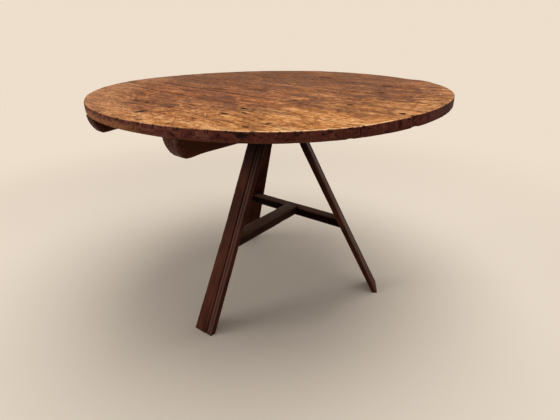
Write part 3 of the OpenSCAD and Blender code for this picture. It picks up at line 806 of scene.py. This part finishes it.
def bar(node, loops, along, edge, mat, body, seed, rough, dent, grain_step, end_grain=0.0):
    """A closed bar through loops of points, roughened and dented as old work is. Its ends show end grain over
    end_grain mm, where that is given.
    """
    loops = np.array(loops, float)
    m, k, _ = loops.shape
    p = loops.reshape(-1, 3)
    from_mid = (loops - loops.mean(1, keepdims=True)).reshape(-1, 3)
    out = from_mid / np.maximum(np.linalg.norm(from_mid, axis=1, keepdims=True), 1e-6)
    exposed = np.tile(edge, m)
    moved = rough * (0.6 * noise(p, 55, seed) + 0.4 * noise(p, 17, seed + 1)) - rough * 0.3
    dents = (np.clip(noise(p, 23, seed + 2) - 0.42, 0, 1) * 2.2
             + np.clip(noise(p, 9, seed + 3) - 0.55, 0, 1) * 1.2)
    moved = moved - dent * exposed * dents
    faces = []
    for i in range(m - 1):
        for j in range(k):
            a, b = i * k + j, i * k + (j + 1) % k
            faces.append((a, b, b + k, a + k))
    faces.append(tuple(range(k - 1, -1, -1)))
    faces.append(tuple((m - 1) * k + j for j in range(k)))
    along = np.asarray(along, float)
    grain = np.stack([np.repeat(along, k) * MM + grain_step * seed, from_mid @ np.array([1, 0.3, 0.2]) * MM,
                      from_mid @ np.array([-0.2, 0.5, 1]) * MM], 1)
    end = np.zeros(m)
    if end_grain:
        end = np.maximum(1 - step(along, along[0], along[0] + end_grain),
                         step(along, along[-1] - end_grain, along[-1]))
    info = np.stack([exposed, np.repeat(end, k), exposed * 0], 1)
    o = make(node, p + out * moved[:, None], faces, mat, body, {"grain": grain, "info": info}, 50)
    bm = bmesh.new()
    bm.from_mesh(o.data)
    bmesh.ops.recalc_face_normals(bm, faces=bm.faces[:])
    bm.to_mesh(o.data)
    bm.free()
    return o


# The bearers
def cut_bore(o, centre, radius, half):
    """Cuts a round bore along X right through a piece."""
    bm = bmesh.new()
    bmesh.ops.create_cone(bm, cap_ends=True, segments=72, radius1=radius * MM, radius2=radius * MM,
                          depth=2 * half * MM, matrix=Matrix.Translation([c * MM for c in centre])
                          @ Matrix.Rotation(math.pi / 2, 4, "Y"))
    mesh = bpy.data.meshes.new("tool")
    bm.to_mesh(mesh)
    bm.free()
    tool = bpy.data.objects.new("tool", mesh)
    bpy.context.scene.collection.objects.link(tool)
    mod = o.modifiers.new("bore", "BOOLEAN")
    mod.operation, mod.object, mod.solver = "DIFFERENCE", tool, "EXACT"
    graph = bpy.context.evaluated_depsgraph_get()
    bored = bpy.data.meshes.new_from_object(o.evaluated_get(graph), preserve_all_data_layers=True,
                                            depsgraph=graph)
    o.modifiers.clear()
    o.data = bored
    bpy.data.objects.remove(tool)
    bpy.data.meshes.remove(mesh)


def bearer_section(d, corner, half, low_z, wobble):
    """A bearer's outline at distance d from its end. Its lower +x arris is bevelled, most at the nose."""
    near_nose = 1 - step(d, 32, 80)
    low = low_z - NOSE_DEEPER * near_nose
    if d < NOSE_R:
        low = max(low, LOW_Z - math.sqrt(d * (2 * NOSE_R - d)))
    # the corner under the nose is worn round
    low += 0.8 * math.exp(-abs(d - corner) / 2.5)
    c = max(min(4.2 + 4.6 * near_nose + wobble, 0.35 * (LOW_Z - low)), 0.9)
    b = max(min(3.0 - 2.0 * near_nose, c), 0.8)
    w, top, ease = half - 0.1, LOW_Z - 0.05, min(1.6, c * 0.6)
    corners = [(-w, top), (w, top), (w, low + c), (w - c, low), (-w + b, low), (-w, low + b)]
    return refine(*rounded(corners, [0.4, 0.4, ease, ease, 0.5 * b, 0.5 * b], 3), 9.0)


def spread(outline, count):
    """So many points, evenly along a closed outline."""
    closed = np.vstack([outline, outline[:1]])
    s = np.concatenate([[0], np.cumsum(np.linalg.norm(np.diff(closed, axis=0), axis=1))])
    t = np.linspace(0, s[-1], count + 1)[:-1]
    return np.stack([np.interp(t, s, closed[:, 0]), np.interp(t, s, closed[:, 1])], 1)


def build_bearer(node, seed):
    (x0, y0, z0), (x1, y1, _) = ([c / MM for c in corner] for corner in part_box(node))
    y0, y1 = y0 - NOSE_LONGER, y1 + NOSE_LONGER
    mid = (x0 + x1) / 2
    turned = math.asin((LOW_Z - z0 + NOSE_DEEPER) / NOSE_R)
    nose = [NOSE_R * (1 - math.cos(a)) for a in np.linspace(0.06, turned, 13)]
    corner = nose[-1]
    nose = [0.05] + nose + [corner + 1.2, corner + 3.0]
    straight = list(np.linspace(y0 + 34, y1 - 34, 122))
    stations = [y0 + d for d in nose] + straight + [y1 - d for d in reversed(nose)]
    outlines, edge = [], None
    for y in stations:
        wobble = 0.8 * noise(np.array([[mid, y, 0]]), 90, seed)[0]
        outline, exposed = bearer_section(min(y - y0, y1 - y), corner, (x1 - x0) / 2, z0, wobble)
        if edge is None or len(outline) == len(edge):
            edge = exposed
        outlines.append(outline)
    # near the nose the outline is short and has fewer points, so there they are spread along it
    count = max(len(outline) for outline in outlines)
    loops = []
    for y, o in zip(stations, outlines):
        o = o if len(o) == count else spread(o, count)
        loops.append(np.stack([mid + o[:, 0], np.full(count, y), o[:, 1]], 1))
    edge = np.interp(np.linspace(0, 1, count), np.linspace(0, 1, len(edge)), edge)
    piece = bar(node, loops, stations, edge, BEARER_WOOD, "top", seed, 0.2, 0.7, 0.1, 34)
    cut_bore(piece, (mid, PIVOT_Y, PIVOT_Z), BORE_R, 40)


build_bearer("right_bearer", 101)
build_bearer("left_bearer", 131)


# The legs: each outer face has two reeds along one edge
def leg_outline():
    """A leg's section at its foot, with X out of the trestle and the reeds along the +Y edge. The third
    number of a point says how exposed it is."""
    hi, lo, ht = REEDED - 0.1, PLAIN, LEG_T / 2 - 0.05
    start = REEDED - 2 * REED_W
    foot = start - REED_DEEP
    pts = [(-ht, lo + 1, 0.6), (-ht + 1, lo, 0.6), (0, lo, 0), (ht - 3.2, lo, 0.8), (ht - 1.4, lo + 1.2, 1),
           (ht - 0.2, lo + 3.2, 0.9), (ht, lo + 6, 0.3)]
    pts += [(ht, y, 0) for y in np.linspace(lo + 13, foot - 3, 7)]
    pts += [(ht, foot - 0.8, 0.3), (ht - 0.5, foot + 0.1, 0.7), (ht - REED_DEEP, foot + 0.7, 0)]
    for reed, last in ((0, 66), (1, 86)):
        middle = start + (reed + 0.5) * REED_W
        for a in np.linspace(-66, last, 9):
            x, y = (REED_W / 2 * f(math.radians(a)) for f in (math.cos, math.sin))
            pts.append((ht - REED_W / 2 + x, min(middle + y, hi), 1.0 if abs(a) < 50 else 0.25))
    pts += [(0, hi, 0), (-ht + 1, hi, 0.6), (-ht, hi - 1, 0.6)]
    pts += [(-ht, y, 0) for y in np.linspace(hi - 10, lo + 10, 7)]
    pts = np.array(pts)
    return pts[:, :2], pts[:, 2]


def build_leg(node, angle, top_z, seed, rows):
    section, edge = leg_outline()
    stand = np.array(TRESTLE @ Matrix.Rotation(math.radians(angle), 4, "Z"))
    rows = np.array(rows, float)
    loops, along = [], []
    for z in top_z * np.linspace(0, 1, 96):
        plain, inner, outer = (np.interp(z, rows[:, 0], rows[:, k]) for k in (1, 2, 3))
        taper = (STAY - plain) / (STAY - PLAIN)
        y = np.where(section[:, 1] < STAY, STAY - (STAY - section[:, 1]) * taper, section[:, 1])
        across = section[:, 0] * (1 + np.where(section[:, 0] < 0, inner, outer) / (LEG_T / 2))
        # a point of the section, carried along the leaning line to this height
        x = FOOT_R - SLOPE * z + across / math.cos(LEAN)
        loops.append((np.stack([x, y, np.full(len(section), z), np.ones(len(section))], 1) @ stand.T)[:, :3])
        along.append(z / math.cos(LEAN))
    bar(node, loops, along, edge, LEG_WOOD, "trestle", seed, 0.25, 0.9, 0.13, 6)


for node, (angle, top_z, seed, rows) in LEGS.items():
    build_leg(node, angle, top_z, seed, rows)


# The stretchers
def build_stretcher(node, start, end, wide, deep, stand, seed, start_lean, end_lean, mat):
    """A bar with eased arrises, along X of stand. A lean: how an end's face moves with height and width."""
    cut = STRETCHER_CUT
    w, h = wide / 2 - 0.1, deep / 2 - 0.1
    corners = [(-w + cut, -h), (w - cut, -h), (w, -h + cut), (w, h - cut), (w - cut, h), (-w + cut, h),
               (-w, h - cut), (-w, -h + cut)]
    o, edge = refine(*rounded(corners, [1.6] * len(corners), 2), 7.0)
    x0 = start + start_lean[0] * o[:, 1] + start_lean[1] * o[:, 0]
    x1 = end + end_lean[0] * o[:, 1] + end_lean[1] * o[:, 0]
    loops, along = [], []
    for t in np.linspace(0, 1, max(8, int((end - start) / 8))):
        q = np.stack([x0 + (x1 - x0) * t, o[:, 0], o[:, 1], np.ones(len(o))], 1) @ np.array(stand).T
        loops.append(q[:, :3])
        along.append(start + (end - start) * t)
    bar(node, loops, along, edge, mat, "trestle", seed, 0.3, 0.9, 0.11)


def inner_face(z):
    """Distance from the trestle's middle to the inner face of a leg, along the leg's own direction."""
    return FOOT_R - SLOPE * z - LEG_T / 2 / math.cos(LEAN)


def build_stretchers():
    # the back legs stand 30 degrees behind the trestle's X axis, so the cross one meets them askew
    askew = math.radians(30)
    cross_y = (FOOT_R - SLOPE * STRETCHER_Z) * math.sin(askew)
    half = (inner_face(STRETCHER_Z) - cross_y * math.sin(askew)) / math.cos(askew) + 2.0
    lean, skew = SLOPE / math.cos(askew), math.tan(askew)
    stand = (TRESTLE @ Matrix.Translation((0, cross_y, STRETCHER_Z - CROSS_DOWN))
             @ Matrix.Rotation(-CROSS_RISE, 4, "Y"))
    build_stretcher("cross_stretcher", -half, half, CROSS_WIDE, CROSS_DEEP_SEEN, stand, 301, (lean, skew),
                    (-lean, -skew), CROSS_SHADED_WOOD)
    stem_z = STRETCHER_Z + CROSS_DEEP / 2 + STEM_PROUD - STEM_DEEP / 2
    stand = (TRESTLE @ Matrix.Translation((STEM_X, 0, stem_z + STEM_UP))
             @ Matrix.Rotation(math.radians(90), 4, "Z"))
    build_stretcher("stem_stretcher", -inner_face(stem_z) - 0.8, cross_y - CROSS_WIDE / 2 + 0.6,
                    STEM_WIDE_SEEN, STEM_DEEP_SEEN, stand, 331, (SLOPE, 0), (0, 0), STEM_WOOD)


build_stretchers()

# The CAD nodes that stay get a better material
for nodes, mat in ((("pivot_rail", "head_block", "turn_button"), HEAD_WOOD),
                   (("rail_pegs", "leg_pegs", "stretcher_peg"), PEG_WOOD),
                   (("board_nails", "button_screw"), IRON)):
    for node in nodes:
        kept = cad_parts[node].data.materials
        kept.clear()
        kept.append(mat)


# Stage, light and camera
def studio_floor():
    """Pale where the camera and gloss see it, fading into the backdrop far off. Its bounce is plain brown."""
    m = Material("floor")
    shown = m.shown()
    far = m.band(m.length(m.at), 1.0, 2.6)
    m.bsdf.inputs["Roughness"].default_value = 0.95
    m.bsdf.inputs["Specular IOR Level"].default_value = 0.05
    m.put(m.bsdf.inputs["Base Color"], m.mix(shown, (0.30, 0.23, 0.17, 1), (0.78, 0.70, 0.61, 1)))
    glow = m.node("ShaderNodeEmission")
    glow.inputs[0].default_value = srgb(*BACKDROP)
    m.put(m.out.inputs[0], m.blend(m.mul(far, shown), m.bsdf.outputs[0], glow.outputs[0]))
    return m.mat


def build_floor(half=9):
    mesh = bpy.data.meshes.new("floor")
    corners = [(-half, -half, 0), (half, -half, 0), (half, half, 0), (-half, half, 0)]
    mesh.from_pydata(corners, [], [(0, 1, 2, 3)])
    mesh.materials.append(studio_floor())
    floor = bpy.data.objects.new("floor", mesh)
    bpy.context.scene.collection.objects.link(floor)


def build_world():
    """A soft warm light from all sides, which the camera and gloss see as the backdrop."""
    world = bpy.data.worlds.new("studio")
    world.use_nodes = True
    bpy.context.scene.world = world
    m = Nodes(world.node_tree)
    lit, seen = m.node("ShaderNodeBackground"), m.node("ShaderNodeBackground")
    lit.inputs[0].default_value = (1.0, 0.94, 0.87, 1)
    lit.inputs[1].default_value = 0.34
    seen.inputs[0].default_value = srgb(*BACKDROP)
    out = m.node("ShaderNodeOutputWorld")
    m.put(out.inputs[0], m.blend(m.shown(), lit.outputs[0], seen.outputs[0]))


def lamp(name, at, size, power, aim=(0, 0, 0.5), colour=(1, 0.97, 0.93)):
    """A soft rectangular lamp at a place, turned to the table."""
    light = bpy.data.lights.new(name, "AREA")
    light.shape, light.energy, light.color = "RECTANGLE", power, colour
    light.size, light.size_y = size
    o = bpy.data.objects.new(name, light)
    bpy.context.scene.collection.objects.link(o)
    o.location = at
    way = Matrix.Translation(at).inverted() @ Matrix.Translation(aim)
    o.rotation_mode = "QUATERNION"
    o.rotation_quaternion = way.to_translation().to_track_quat("-Z", "Y")


def build_camera():
    data = bpy.data.cameras.new("camera")
    data.sensor_width, data.lens, data.clip_end = SENSOR, LENS, 60
    camera = bpy.data.objects.new("camera", data)
    bpy.context.scene.collection.objects.link(camera)
    bpy.context.scene.camera = camera
    turn = (Matrix.Rotation(CAMERA_TURN, 4, "Z") @ Matrix.Rotation(math.pi / 2 - CAMERA_DOWN, 4, "X")
            @ Matrix.Rotation(-CAMERA_ROLL, 4, "Z"))
    camera.matrix_world = Matrix.Translation(CAMERA_AT) @ turn


build_floor()
build_world()
lamp("above", (0.3, 0.2, 3.2), (2.6, 2.6), 78)
lamp("back_right", (1.0, 3.4, 1.6), (1.6, 1.4), 18)
lamp("left", (-1.9, -2.9, 1.3), (1.8, 1.4), 40)
build_camera()
bpy.context.scene.view_settings.view_transform = "Standard"
